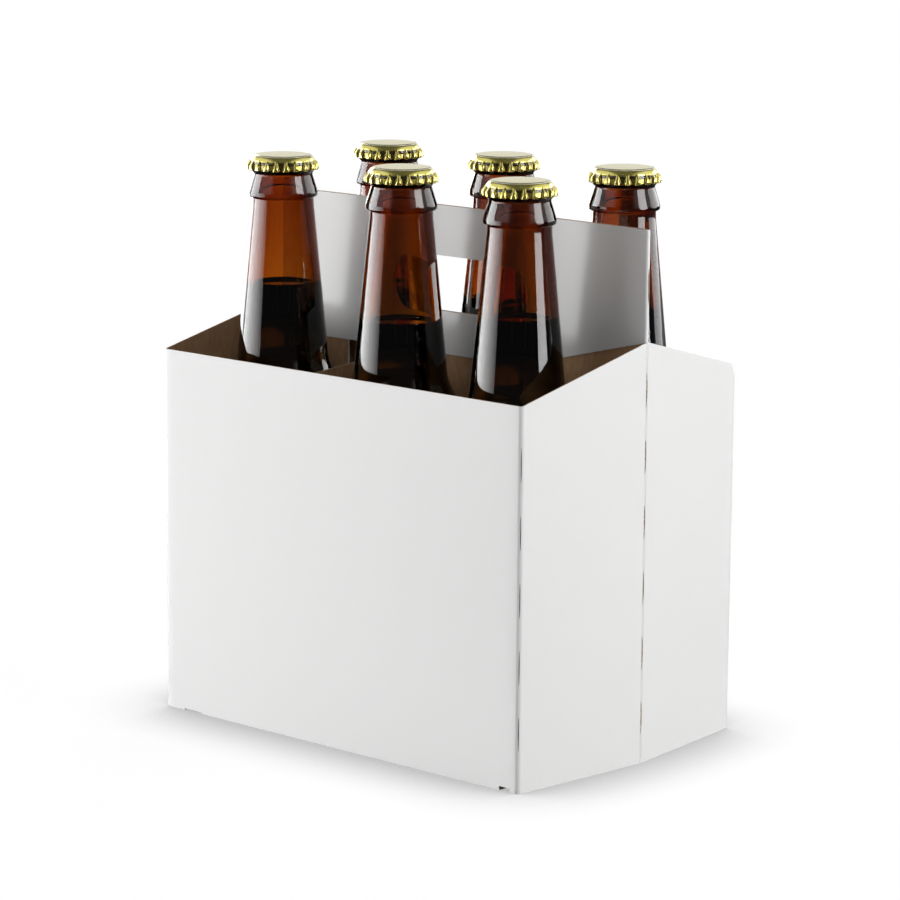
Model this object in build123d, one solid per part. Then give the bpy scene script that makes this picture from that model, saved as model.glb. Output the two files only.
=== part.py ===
from build123d import *
import math
import os

# A paperboard carrier holding six capped longneck bottles. Lengths are in millimetres.
# The carrier stands on z = 0. X runs along its length, towards the end with the outward fold.
# The front is -Y. The origin is under the middle of the whole outline.

# Carton board
board = 0.5                # one thickness of the board
fold_radius = 0.4          # inside radius of an upright fold

# Room for the bottles
body_radius = 30.4         # radius of a bottle's body
length_play = 8.8          # room along the carrier beside three bottles in a row
width_play = 9.4           # room across the carrier beside two bottles, board included
cell_play = 2.2            # room beside the middle bottle, between its two dividers
bottle_spacing = 1.75      # between the bodies of neighbours in a row
row_gap = 0.75             # between a row of bodies and the carrier's middle

# Walls of the box
wall_height = 149.8        # top edge of the side walls
end_bulge = 7.2            # the right end's middle fold stands this far past its corners
end_dent = 4.5             # the left end's middle is drawn in this far
right_peak = 167.3         # top of the right end at its middle fold
left_peak = 166.0          # top of the left end at its middle
right_end_lift = 0.4       # lower edge of the right end above the floor
left_end_lift = 0.3        # lower edge of the left end above the bottom board
bottom_inset = 1.0         # the bottom board stops this far short of the corner folds
corner_clip_width = 3.0    # small piece missing at the rear right top corner
corner_clip_height = 5.7

# Handle and middle panels
handle_top = 210.7
handle_corner = 4.0        # radius of the handle's free top corner
handle_fold_share = 0.9    # rounding of the handle's folded edge, as a share of half its thickness
handle_bow = 1.5           # the handle curves towards the rear by this much at its middle
ply_edge = 150.6           # straight lower edge of the outer handle plies
hole_length = 76.0
hole_height = 22.4
hole_middle = 179.2        # height of the hand-hole's middle
panel_lift = 1.5           # the middle panels stop this far above the bottom board
end_flap = 35.8            # panel that runs inwards from the left end's middle
gap_top = 153.0            # top of the gap beside that flap, behind the outer ply

# Dividers between the bottles
divider_shift = 0.7        # the pair of dividers stands this far right of the middle
divider_top_inner = 148.0  # top of the tall divider beside the middle panel
divider_top_outer = 143.6  # and beside the side wall
strap_low = 40.0           # the strap divider is cut out of the middle panel between these
strap_high = 132.0
glue_flap = 18.0
glue_flap_inset = 4.0      # a glue flap is this much shorter than its divider, top and bottom

# Cut scores along the folds
score_length = 13.8
score_width = 0.6
score_pitch = 26.0
corner_score_start = 23.4  # height of the lowest corner score's middle
middle_score_start = 18.6  # and of the lowest one on the right end's middle fold
handle_score = 189.0       # height of the single score on the handle's folded edge
foot_slot_length = 10.0    # slot in the bottom fold near each corner
foot_slot_height = 1.2
foot_slot_inset = 4.2

# Glass bottle
heel_cut = 3.0             # slanted edge round the foot
glass_height = 227.3
glass_wall = 2.2
base_thickness = 5.0
punt_depth = 1.5           # how far the base is pushed in
foot_ring = 24.0           # radius inside which the base is pushed in
shoulder_top = 127.5       # where the side line and the shoulder line would meet
shoulder_bend = 26.0       # radius of the shoulder
shoulder_cut = 6.0         # slanted step in the shoulder on the inside of the glass
neck_low_radius = 19.1     # where the shoulder line and the neck line would meet
neck_low = 140.8
neck_bend = 20.0
neck_high_radius = 12.6    # under the ring of the finish
neck_high_drop = 19.3      # from the mouth down to the end of the neck's slope
ring_radius = 14.15
ring_drop = 15.0           # from the mouth down to the middle of the ring's edge
ring_edge = 0.7
throat_radius = 11.9       # above the ring, under the cap
throat_drop = 6.7
bead_radius = 13.2         # the bead that the cap is crimped on
bead_drop = 5.1            # from the mouth down to the bead's lower edge
bead_cut = 1.0             # slanted edge round the mouth
bore_radius = 8.6
liquid_gap = 0.05          # between the glass and the liquid's solid

# Crown cap and its liner
cap_sheet = 0.35
cap_height = 6.0
cap_edge_radius = 14.55
cap_corner = 2.3           # slanted edge round the cap's top
cap_gap = 0.1              # between the skirt and the bead
flute_count = 21
flute_depth = 0.85
liner_radius = 11.6
liner_thickness = 0.6

# How each bottle stands: its column and row, how much of the sway it takes along and across
# the carrier, and by how many steps its drink stands below the usual level.
sway_along = 1.6
sway_across = 1.5
fill_level = 172.0         # above the bottle's foot
fill_step = 1.0
bottle_stance = {
    "front_left": (-1, -1, 0.38, 0.0, -1),
    "front_middle": (0, -1, 1.0, 1.0, 9),
    "front_right": (1, -1, 0.53, 0.53, 0),
    "rear_left": (-1, 1, 0.34, 0.53, 1),
    "rear_middle": (0, 1, 0.61, 1.0, 3),
    "rear_right": (1, 1, 0.88, 0.83, 0),
}

# Places that follow from the sizes above
side_length = 6 * body_radius + length_play
box_width = 4 * body_radius + width_play
half_width = box_width / 2
cell_length = 2 * body_radius + board + cell_play
bottle_pitch = 2 * body_radius + bottle_spacing
row_offset = body_radius + row_gap
neck_high = glass_height - neck_high_drop
ring_height = glass_height - ring_drop
throat_height = glass_height - throat_drop
bead_low = glass_height - bead_drop
left_corner = -(side_length + end_bulge) / 2
right_corner = left_corner + side_length
peak_x = right_corner + end_bulge
dent_x = left_corner + end_dent
middle_x = (left_corner + right_corner) / 2
handle_middle = (dent_x + peak_x) / 2
end_panel = math.hypot(half_width, end_bulge)
bottom_thickness = 2 * board
panel_low = bottom_thickness + panel_lift
divider_x = [middle_x + divider_shift + side * cell_length / 2 for side in (-1, 1)]
flap_edge = dent_x + end_flap
wall_inside = half_width - board


def block(x_range, y_range, z_range):
    """A box between two limits along each axis."""
    spans = [high - low for low, high in (x_range, y_range, z_range)]
    middles = [(high + low) / 2 for low, high in (x_range, y_range, z_range)]
    return Pos(*middles) * Box(*spans)


def end_view(x_range, *points):
    """A face seen from the right end, from points (y, z), spread between two x values."""
    face = make_face(Plane.YZ * Polyline(*points, close=True))
    return extrude(Pos(x_range[0], 0, 0) * face, amount=x_range[1] - x_range[0], dir=(1, 0, 0))


def bowed_plan(half_thickness, fold_corners):
    """Plan of the upright middle plies, which curve gently towards the rear."""
    edges = []
    for side in (-1, 1):
        start = (dent_x, side * half_thickness)
        crown = (handle_middle, handle_bow + side * half_thickness)
        end = (peak_x, side * half_thickness)
        edges.append(ThreePointArc(start, crown, end))
    closing = [Line(edges[0] @ 0, edges[1] @ 0), Line(edges[0] @ 1, edges[1] @ 1)]
    plan = make_face(Wire(edges + closing))
    if fold_corners:
        right = plan.vertices().group_by(Axis.X)[-1]
        plan = fillet(right, half_thickness * handle_fold_share)
    return plan


def bow_at(x):
    """How far the middle panels stand towards the rear at one place along them."""
    share = (x - handle_middle) / (peak_x - handle_middle)
    return handle_bow * (1 - share * share)


def outer_walls():
    """Side walls and folded end walls, with the sloping tops of the ends."""
    corners = [
        (left_corner, -half_width),
        (right_corner, -half_width),
        (peak_x, 0),
        (right_corner, half_width),
        (left_corner, half_width),
        (dent_x, 0),
    ]
    outside = make_face(Polyline(*corners, close=True))
    inside = offset(outside, -board, kind=Kind.INTERSECTION)
    outside = fillet([v for v in outside.vertices() if abs(v.Y) > board], fold_radius + board)
    inside = fillet([v for v in inside.vertices() if abs(v.Y) > board], fold_radius)
    tall = extrude(outside - inside, amount=right_peak)
    ends = (
        ((left_corner - board, 0), left_peak, bottom_thickness + left_end_lift),
        ((0, peak_x + board), right_peak, right_end_lift),
    )
    kept = []
    for x_range, peak, low in ends:
        outline = end_view(
            x_range,
            (-half_width, 0),
            (-wall_inside, 0),
            (-wall_inside, low),
            (wall_inside, low),
            (wall_inside, 0),
            (half_width, 0),
            (half_width, wall_height),
            (0, peak),
            (-half_width, wall_height),
        )
        kept.append(tall & outline)
    return kept[0] + kept[1]


def handle_and_panels():
    """The four plies of the handle and the two middle panels that hang below it."""
    slope_start = peak_x - end_panel
    outline = (
        (dent_x, ply_edge),
        (slope_start, ply_edge),
        (peak_x, right_peak),
        (peak_x, handle_top),
        (dent_x, handle_top),
    )
    outer_view = extrude(Plane.XZ * make_face(Polyline(*outline, close=True)), amount=box_width, both=True)
    plies = extrude(bowed_plan(2 * board, True), amount=handle_top) & outer_view
    top_edges = plies.edges().filter_by(Axis.Y).group_by(Axis.Z)[-1]
    plies = fillet(top_edges.sort_by(Axis.X)[0], handle_corner)

    panels = extrude(bowed_plan(board, False), amount=ply_edge + handle_corner)
    depth = (-half_width, half_width)
    panels &= block((dent_x, peak_x - board), depth, (panel_low, right_peak))
    panels -= block((flap_edge, divider_x[0]), depth, (0, gap_top))
    panels -= block((divider_x[0] + board / 2, divider_x[1] - board / 2), depth, (strap_low, strap_high))
    return plies + panels


def hand_hole():
    """The round-ended grip hole through every ply."""
    outline = SlotOverall(hole_length, hole_height)
    return extrude(Pos(handle_middle, 0, hole_middle) * (Plane.XZ * outline), amount=half_width, both=True)


def dividers(side):
    """The two dividers of one row. side is -1 for the front row and 1 for the rear row."""
    pieces = []
    inner = [bow_at(x) for x in divider_x]
    wall = side * wall_inside

    # The tall divider is the end of the middle panel, turned outwards. The strap's glue flap
    # was cut out of it beside the fold.
    thick = (divider_x[0] - board / 2, divider_x[0] + board / 2)
    tall = end_view(
        thick,
        (inner[0], panel_low),
        (wall, panel_low),
        (wall, divider_top_outer),
        (inner[0], divider_top_inner),
    )
    root = board + fold_radius
    notch = sorted((inner[0] + side * root, inner[0] + side * (root + glue_flap)))
    tall -= block(thick, notch, (strap_low, strap_high))
    pieces.append(tall)

    # The strap divider was cut out of the middle panel.
    thick = (divider_x[1] - board / 2, divider_x[1] + board / 2)
    pieces.append(block(thick, sorted((inner[1], wall)), (strap_low, strap_high)))

    # Each ends in a flap glued to the inside of the side wall.
    spans = ((panel_low, divider_top_outer), (strap_low, strap_high))
    for x, (low, high) in zip(divider_x, spans):
        flap_x = (x - board / 2, x + glue_flap)
        flap_y = sorted((wall - side * board, wall))
        pieces.append(block(flap_x, flap_y, (low + glue_flap_inset, high - glue_flap_inset)))
    return pieces


def fold_scores():
    """The short cuts that let the board fold cleanly, as one group of cutters."""
    cutters = []
    reach = 2 * (fold_radius + board)
    low, high = -score_length / 2, score_length / 2
    count = int((wall_height - corner_score_start - score_length / 2) / score_pitch) + 1
    for x in (left_corner, right_corner):
        for y in (-half_width, half_width):
            blade = Rot(0, 0, 45 if x * y > 0 else -45) * Box(reach, score_width, score_length)
            for step in range(count):
                cutters.append(Pos(x, y, corner_score_start + step * score_pitch) * blade)
    blade = block((peak_x - reach, peak_x + board), (-score_width / 2, score_width / 2), (low, high))
    count = int((right_peak - middle_score_start - score_length / 2) / score_pitch) + 1
    heights = [middle_score_start + step * score_pitch for step in range(count)]
    for z in heights + [handle_score]:
        cutters.append(Pos(0, 0, z) * blade)
    return cutters


def foot_slots():
    """Slots in the bottom folds, near each corner."""
    cutters = []
    for x, inwards in ((left_corner, 1), (right_corner, -1)):
        span = sorted((x + inwards * foot_slot_inset, x + inwards * (foot_slot_inset + foot_slot_length)))
        for side in (-1, 1):
            depth = sorted((side * (wall_inside - board), side * (half_width + board)))
            cutters.append(block(span, depth, (-board, foot_slot_height)))
    return cutters


def carrier():
    """The folded and glued board, one piece."""
    body = outer_walls() + handle_and_panels()
    floor_x = (left_corner + bottom_inset, right_corner - bottom_inset)
    body += block(floor_x, (-half_width, half_width), (0, bottom_thickness))
    for side in (-1, 1):
        body += dividers(side)
    body -= hand_hole()
    body -= fold_scores()
    body -= foot_slots()

    # The left end's two halves turn inwards at the middle and leave a shallow groove there.
    groove = Polyline((dent_x - board, board), (dent_x + fold_radius, 0), (dent_x - board, -board), close=True)
    body -= extrude(make_face(groove), amount=left_peak + board, dir=(0, 0, 1))

    # A small piece is missing from the rear right top corner.
    slope = (right_peak - wall_height) / half_width
    body -= end_view(
        (right_corner - 2 * board - fold_radius, right_corner + end_bulge),
        (half_width - corner_clip_width, wall_height + slope * corner_clip_width),
        (half_width, wall_height - corner_clip_height),
        (half_width + board, wall_height - corner_clip_height),
        (half_width + board, wall_height + slope * corner_clip_width),
    )
    return body


def glass_outline():
    """Half outline of the bottle's outside, from the axis at the base to the axis at the top."""
    path = Polyline(
        (0, punt_depth),
        (foot_ring, punt_depth),
        (foot_ring, 0),
        (body_radius, 0),
        (body_radius, shoulder_top),
        (neck_low_radius, neck_low),
        (neck_high_radius, neck_high),
        (neck_high_radius, ring_height - 2 * ring_edge),
        (ring_radius, ring_height - ring_edge),
        (ring_radius, ring_height + ring_edge),
        (throat_radius, throat_height),
        (bead_radius, bead_low),
        (bead_radius, glass_height),
        (0, glass_height),
        close=True,
    )
    face = make_face(path)
    face = fillet(corner_of(face, body_radius, shoulder_top), shoulder_bend)
    face = fillet(corner_of(face, neck_low_radius, neck_low), neck_bend)
    face = chamfer(corner_of(face, body_radius, 0), heel_cut)
    return chamfer(corner_of(face, bead_radius, glass_height), bead_cut)


def cavity_outline(gap):
    """Half outline of the space inside the glass, drawn in by a gap all round."""
    inset = glass_wall + gap
    mouth = glass_height + bead_cut
    face = make_face(
        Polyline(
            (0, base_thickness + gap),
            (body_radius - inset, base_thickness + gap),
            (body_radius - inset, shoulder_top),
            (neck_low_radius - inset, neck_low),
            (bore_radius - gap, neck_high),
            (bore_radius - gap, mouth),
            (0, mouth),
            close=True,
        )
    )
    return chamfer(corner_of(face, body_radius - inset, shoulder_top), shoulder_cut)


def corner_of(face, radius, height):
    """The corner of a half outline nearest to a radius and a height."""
    return min(face.vertices(), key=lambda v: math.hypot(v.X - radius, v.Y - height))


def turned(face):
    """Spin a half outline about the upright axis."""
    return revolve(Plane.XZ * face, Axis.Z)


def glass_bottle():
    return turned(glass_outline()) - turned(cavity_outline(0))


def liquid(level):
    """The drink, up to its level above the bottle's foot."""
    reach = (-body_radius, body_radius)
    return turned(cavity_outline(liquid_gap)) & block(reach, reach, (0, level))


def slanted_disc(radius, z_range, cut):
    """A thick disc with a slanted edge round its top."""
    face = make_face(Polyline((0, z_range[0]), (radius, z_range[0]), (radius, z_range[1]), (0, z_range[1]), close=True))
    return turned(chamfer(corner_of(face, radius, z_range[1]), cut))


def crown_cap():
    """The pressed cap, crimped under the bead, with its ring of flutes."""
    top = glass_height + liner_thickness + cap_sheet
    low = top - cap_height
    points = []
    for step in range(2 * flute_count):
        angle = math.pi * step / flute_count
        radius = cap_edge_radius - (step % 2) * flute_depth
        points.append((radius * math.cos(angle), radius * math.sin(angle)))
    fluted = extrude(Pos(0, 0, low) * make_face(Polyline(*points, close=True)), amount=cap_height)
    skirt_inside = bead_radius + cap_gap
    inside_cut = cap_corner - (cap_edge_radius - skirt_inside) + (math.sqrt(2) - 1) * cap_sheet
    cap = fluted & slanted_disc(cap_edge_radius, (low, top), cap_corner)
    return cap - slanted_disc(skirt_inside, (low - cap_sheet, top - cap_sheet), inside_cut)


def cap_liner():
    """The soft disc between the cap and the mouth of the bottle."""
    return Pos(0, 0, glass_height + liner_thickness / 2) * Cylinder(liner_radius, liner_thickness)


def save(shape, name):
    """Write one named piece to its own file."""
    shape.label = name
    export_step(shape, f"parts/{name}.step")


def main():
    os.makedirs("parts", exist_ok=True)
    save(carrier(), "carrier")
    glass, cap, liner = glass_bottle(), crown_cap(), cap_liner()
    for place, (column, row, along, across, steps) in bottle_stance.items():
        x = middle_x + column * bottle_pitch + along * sway_along
        y = row * row_offset + across * sway_across
        spot = Pos(x, y, bottom_thickness)
        save(spot * glass, f"bottle_{place}")
        save(spot * liquid(fill_level - steps * fill_step), f"beer_{place}")
        save(spot * cap, f"crown_cap_{place}")
        save(spot * liner, f"cap_liner_{place}")


main()
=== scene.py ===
import math

import bmesh
import bpy
from mathutils import Matrix, Vector


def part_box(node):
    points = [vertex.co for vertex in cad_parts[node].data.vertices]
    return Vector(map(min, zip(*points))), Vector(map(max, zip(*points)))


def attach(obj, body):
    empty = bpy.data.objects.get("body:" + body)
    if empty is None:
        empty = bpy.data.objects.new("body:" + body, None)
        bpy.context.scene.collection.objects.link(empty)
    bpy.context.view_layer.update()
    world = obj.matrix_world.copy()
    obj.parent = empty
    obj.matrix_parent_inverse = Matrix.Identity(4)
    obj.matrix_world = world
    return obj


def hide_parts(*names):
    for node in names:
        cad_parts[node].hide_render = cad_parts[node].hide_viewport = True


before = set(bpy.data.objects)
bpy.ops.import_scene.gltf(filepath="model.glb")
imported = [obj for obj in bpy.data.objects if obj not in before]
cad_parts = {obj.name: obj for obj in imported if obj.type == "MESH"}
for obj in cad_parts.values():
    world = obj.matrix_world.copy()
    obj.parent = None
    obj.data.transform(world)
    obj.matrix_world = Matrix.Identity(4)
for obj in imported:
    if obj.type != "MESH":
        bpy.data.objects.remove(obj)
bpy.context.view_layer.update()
print("frame loaded:", len(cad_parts), "nodes")

# All lengths are in metres. The front wall faces -Y, and the folded end with the cut scores faces +X.
mm = 0.001
places = ["front_left", "front_middle", "front_right", "rear_left", "rear_middle", "rear_right"]


# Small tools

def roundedPath(corners, turnStep=math.radians(8)):
    # corners are (across, up, bend radius); each bend becomes a short run of points
    points = []
    for i, (x, y, bend) in enumerate(corners):
        if bend == 0 or i == 0 or i == len(corners) - 1:
            points.append((x, y))
            continue
        here = Vector((x, y))
        before = (Vector(corners[i - 1][:2]) - here).normalized()
        after = (Vector(corners[i + 1][:2]) - here).normalized()
        turn = math.pi - before.angle(after)
        if turn < 1e-4:
            points.append((x, y))
            continue
        centre = here + (before + after).normalized() * (bend / math.cos(turn / 2))
        reach = bend * math.tan(turn / 2)
        start = here + before * reach - centre
        side = 1 if before.x * start.y - before.y * start.x > 0 else -1
        steps = max(2, math.ceil(turn / turnStep))
        for step in range(steps + 1):
            angle = side * turn * step / steps
            points.append((
                centre.x + start.x * math.cos(angle) - start.y * math.sin(angle),
                centre.y + start.x * math.sin(angle) + start.y * math.cos(angle),
            ))
    return points


def meshFrom(work, name):
    mesh = bpy.data.meshes.new(name)
    work.to_mesh(mesh)
    work.free()
    return mesh


def meshObject(name, mesh):
    piece = bpy.data.objects.new(name, mesh)
    bpy.context.scene.collection.objects.link(piece)
    return piece


def lathe(name, outline, turns, spot):
    # spins a half outline of (radius, height) points, which starts and ends on the axis
    work = bmesh.new()
    rings = []
    for radius, height in outline:
        if radius < 1e-6:
            rings.append([work.verts.new((spot[0], spot[1], spot[2] + height))] * turns)
            continue
        ring = []
        for k in range(turns):
            angle = 2 * math.pi * k / turns
            ring.append(work.verts.new((
                spot[0] + radius * math.cos(angle),
                spot[1] + radius * math.sin(angle),
                spot[2] + height,
            )))
        rings.append(ring)
    for low, high in zip(rings, rings[1:]):
        for k in range(turns):
            corners = [low[k], low[(k + 1) % turns], high[(k + 1) % turns], high[k]]
            face = list(dict.fromkeys(corners))
            if len(face) > 2:
                work.faces.new(face)
    mesh = meshFrom(work, name)
    mesh.shade_smooth()
    return meshObject(name, mesh)


def finished(piece, slotName, *nodes):
    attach(piece, "root")
    if nodes:
        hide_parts(*nodes)
    return piece


# Materials

def newFinish(name):
    finish = bpy.data.materials.new(name)
    finish.use_nodes = True
    tree = finish.node_tree
    return finish, tree, tree.nodes["Principled BSDF"]


def feed(tree, socket, source):
    # a socket takes a fixed value or another node's output
    if isinstance(source, bpy.types.NodeSocket):
        tree.links.new(source, socket)
    else:
        socket.default_value = source


def dress(tree, node, sources):
    for name, source in sources.items():
        feed(tree, node.inputs[name], source)


def mathOf(tree, operation, *values):
    step = tree.nodes.new("ShaderNodeMath")
    step.operation = operation
    for socket, value in zip(step.inputs, values):
        feed(tree, socket, value)
    return step.outputs[0]


def rangeOf(tree, value, low, high, start=0.0, end=1.0, eased=False):
    # carries start..end over to low..high, and nothing goes past those
    spread = tree.nodes.new("ShaderNodeMapRange")
    spread.interpolation_type = "SMOOTHSTEP" if eased else "LINEAR"
    dress(tree, spread, {
        "Value": value, "From Min": start, "From Max": end, "To Min": low, "To Max": high,
    })
    return spread.outputs["Result"]


def objectPlace(tree, scale=(1, 1, 1)):
    place = tree.nodes.new("ShaderNodeTexCoord")
    turnTo = tree.nodes.new("ShaderNodeMapping")
    dress(tree, turnTo, {"Vector": place.outputs["Object"], "Scale": scale})
    return turnTo.outputs["Vector"]


def noiseFrom(tree, place, scale, detail=4.0, roughness=0.55):
    noise = tree.nodes.new("ShaderNodeTexNoise")
    dress(tree, noise, {"Vector": place, "Scale": scale, "Detail": detail, "Roughness": roughness})
    return noise.outputs["Fac"]


def rampOf(tree, fac, stops):
    ramp = tree.nodes.new("ShaderNodeValToRGB")
    line = ramp.color_ramp.elements
    while len(line) < len(stops):
        line.new(0.5)
    for element, (where, colour) in zip(line, stops):
        element.position = where
        element.color = (*colour, 1)
    tree.links.new(fac, ramp.inputs["Fac"])
    return ramp.outputs["Color"]


def bumpFrom(tree, height, distance, strength):
    bump = tree.nodes.new("ShaderNodeBump")
    dress(tree, bump, {"Height": height, "Distance": distance, "Strength": strength})
    return bump.outputs["Normal"]


coatedBoard = {
    "pale": (0.824, 0.824, 0.820),
    "dull": (0.812, 0.812, 0.806),
    "mottleScale": 38,
    "roughness": (0.17, 0.20),
    "gloss": 0.56,
    "fibreScale": 1500,
    "fibreHeight": 0.010 * mm,
    "fibreStrength": 0.35,
}


def makeCoatedBoard():
    finish, tree, shader = newFinish("coated_board")
    place = objectPlace(tree)
    mottle = noiseFrom(tree, place, coatedBoard["mottleScale"], 5, 0.6)
    fibre = noiseFrom(tree, place, coatedBoard["fibreScale"], 3, 0.6)
    dress(tree, shader, {
        "Base Color": rampOf(tree, mottle, [(0.15, coatedBoard["dull"]), (0.85, coatedBoard["pale"])]),
        "Roughness": rangeOf(tree, mottle, *coatedBoard["roughness"]),
        "Normal": bumpFrom(tree, fibre, coatedBoard["fibreHeight"], coatedBoard["fibreStrength"]),
        "Specular IOR Level": coatedBoard["gloss"],
    })
    return finish


kraftBoard = {
    "dark": (0.36, 0.200, 0.100),
    "middle": (0.50, 0.300, 0.160),
    "pale": (0.60, 0.390, 0.225),
    "fibreScale": 900,
    "fibreUpright": 0.22,      # fibres lie upright, so the pattern is drawn out along Z
    "fibreShare": 0.7,
    "fibreHeight": 0.03 * mm,
    "fibreStrength": 0.6,
    "cloudScale": 60,
    "cloudShare": 0.3,
    "roughness": 0.78,
    "gloss": 0.3,
}


def makeKraftBoard():
    finish, tree, shader = newFinish("kraft_board")
    along = objectPlace(tree, (1, 1, kraftBoard["fibreUpright"]))
    fibre = noiseFrom(tree, along, kraftBoard["fibreScale"], 5, 0.7)
    cloud = noiseFrom(tree, objectPlace(tree), kraftBoard["cloudScale"], 4, 0.6)
    clouds = rangeOf(tree, cloud, 0.0, kraftBoard["cloudShare"])
    both = mathOf(tree, "MULTIPLY_ADD", fibre, kraftBoard["fibreShare"], clouds)
    colour = rampOf(tree, both, [
        (0.25, kraftBoard["dark"]), (0.50, kraftBoard["middle"]), (0.75, kraftBoard["pale"]),
    ])
    dress(tree, shader, {
        "Base Color": colour,
        "Roughness": kraftBoard["roughness"],
        "Normal": bumpFrom(tree, fibre, kraftBoard["fibreHeight"], kraftBoard["fibreStrength"]),
        "Specular IOR Level": kraftBoard["gloss"],
    })
    return finish


cutEdge = {
    "dark": (0.30, 0.19, 0.11),
    "pale": (0.62, 0.53, 0.42),
    "scale": 700,
    "height": 0.05 * mm,
    "strength": 0.6,
    "roughness": 0.85,
}


def makeCutEdge():
    finish, tree, shader = newFinish("cut_edge")
    torn = noiseFrom(tree, objectPlace(tree), cutEdge["scale"], 4, 0.7)
    dress(tree, shader, {
        "Base Color": rampOf(tree, torn, [(0.38, cutEdge["dark"]), (0.62, cutEdge["pale"])]),
        "Roughness": cutEdge["roughness"],
        "Normal": bumpFrom(tree, torn, cutEdge["height"], cutEdge["strength"]),
    })
    return finish


amberGlass = {
    "tint": (1.0, 0.97, 0.90),
    "absorb": (0.864, 0.709, 0.30),
    "density": 1500.0,
    "roughness": 0.012,
    "ior": 1.5,
    "waveScale": 55,
    "waveUpright": 0.4,
    "waveHeight": 0.12 * mm,
    "waveStrength": 0.35,
}
darkBeer = {
    "tint": (0.95, 0.86, 0.72),
    "absorb": (0.50, 0.25, 0.04),
    "density": 900.0,
    "roughness": 0.0,
    "ior": 1.34,
}


def makeClear(name, look):
    # a clear material that darkens with its depth
    finish, tree, shader = newFinish(name)
    dress(tree, shader, {
        "Base Color": (*look["tint"], 1),
        "Transmission Weight": 1.0,
        "Roughness": look["roughness"],
        "IOR": look["ior"],
    })
    if "waveScale" in look:
        wave = noiseFrom(tree, objectPlace(tree, (1, 1, look["waveUpright"])), look["waveScale"], 2, 0.4)
        dress(tree, shader, {"Normal": bumpFrom(tree, wave, look["waveHeight"], look["waveStrength"])})
    inside = tree.nodes.new("ShaderNodeVolumeAbsorption")
    dress(tree, inside, {"Color": (*look["absorb"], 1), "Density": look["density"]})
    tree.links.new(inside.outputs["Volume"], tree.nodes["Material Output"].inputs["Volume"])
    return finish


goldLacquer = {
    "deep": (0.74, 0.64, 0.12),
    "bright": (0.86, 0.76, 0.24),
    # valley is a painted shade for the hollows between the flutes, not a colour of the lacquer
    "valley": (0.20, 0.155, 0.02),
    "cloudScale": 300,
    "roughness": (0.18, 0.25),
    "grainScale": 2600,
    "grainHeight": 0.01 * mm,
    "grainStrength": 0.25,
    "metallic": 0.88,
    "coat": 0.5,
    "coatIor": 1.6,
    "coatRoughness": 0.10,
}


def makeGoldLacquer():
    finish, tree, shader = newFinish("gold_cap")
    place = objectPlace(tree)
    cloud = noiseFrom(tree, place, goldLacquer["cloudScale"], 3, 0.5)
    colour = rampOf(tree, cloud, [(0.3, goldLacquer["deep"]), (0.7, goldLacquer["bright"])])
    # painted shade: the lacquer is mixed towards the dark valley colour where the flutes' valleys lie
    valleyShade = tree.nodes.new("ShaderNodeAttribute")
    valleyShade.attribute_name = "valley"
    shade = tree.nodes.new("ShaderNodeMix")
    shade.data_type = "RGBA"
    sockets = {socket.identifier: socket for socket in list(shade.inputs) + list(shade.outputs)}
    tree.links.new(valleyShade.outputs["Fac"], sockets["Factor_Float"])
    tree.links.new(colour, sockets["A_Color"])
    sockets["B_Color"].default_value = (*goldLacquer["valley"], 1)
    grain = noiseFrom(tree, place, goldLacquer["grainScale"], 2, 0.5)
    dress(tree, shader, {
        "Base Color": sockets["Result_Color"],
        "Roughness": rangeOf(tree, cloud, *goldLacquer["roughness"]),
        "Normal": bumpFrom(tree, grain, goldLacquer["grainHeight"], goldLacquer["grainStrength"]),
        "Metallic": goldLacquer["metallic"],
        "Coat Weight": goldLacquer["coat"],
        "Coat IOR": goldLacquer["coatIor"],
        "Coat Roughness": goldLacquer["coatRoughness"],
    })
    return finish


softLiner = {"dull": (0.62, 0.62, 0.60), "pale": (0.70, 0.70, 0.68), "cloudScale": 400, "roughness": 0.5}


def makeLiner():
    finish, tree, shader = newFinish("liner")
    cloud = noiseFrom(tree, objectPlace(tree), softLiner["cloudScale"], 3, 0.5)
    dress(tree, shader, {
        "Base Color": rampOf(tree, cloud, [(0.3, softLiner["dull"]), (0.7, softLiner["pale"])]),
        "Roughness": softLiner["roughness"],
    })
    return finish


coated, kraft, edge = makeCoatedBoard(), makeKraftBoard(), makeCutEdge()
glass, beer = makeClear("amber_glass", amberGlass), makeClear("dark_beer", darkBeer)
gold, liner = makeGoldLacquer(), makeLiner()
print("materials ready")


# The carrier: flat sheets of board with their cuts, folded along paths seen from above

carrierLow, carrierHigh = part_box("carrier")
board = {
    "thick": 0.5 * mm,
    "foldRadius": 0.9 * mm,
    "tuckLong": 3.0 * mm,      # both edges of the blank turn inwards at the left end's middle
    "tuckHalf": 0.05 * mm,
    "cornerRadius": 1.9 * mm,  # the front right corner is pressed rounder
    "creaseWide": 1.2 * mm,
    "creaseDeep": 0.45 * mm,
    "endBulge": 7.2 * mm,      # right end's middle fold
    "endDent": 4.5 * mm,       # left end's middle
    "wallTop": 149.8 * mm,
    "rightPeak": 167.3 * mm,
    "leftPeak": 166.0 * mm,
    "rightLift": 0.1 * mm,
    "leftLift": 1.3 * mm,
    "clipWide": 3.0 * mm,
    "clipTall": 5.7 * mm,
    "warp": 0.25 * mm,         # how far a wall stands proud in its middle
    "sharpest": math.radians(28),   # folds that turn more than this show as an edge
    "cutStep": 9.0 * mm,       # widest strip of a sheet
    "rowStep": 15.0 * mm,      # tallest row of the walls
}
halfWidth = carrierHigh.y
leftCorner = carrierLow.x
rightPeakX = carrierHigh.x
rightCorner = rightPeakX - board["endBulge"]
dentX = leftCorner + board["endDent"]
handleTop = carrierHigh.z
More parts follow.
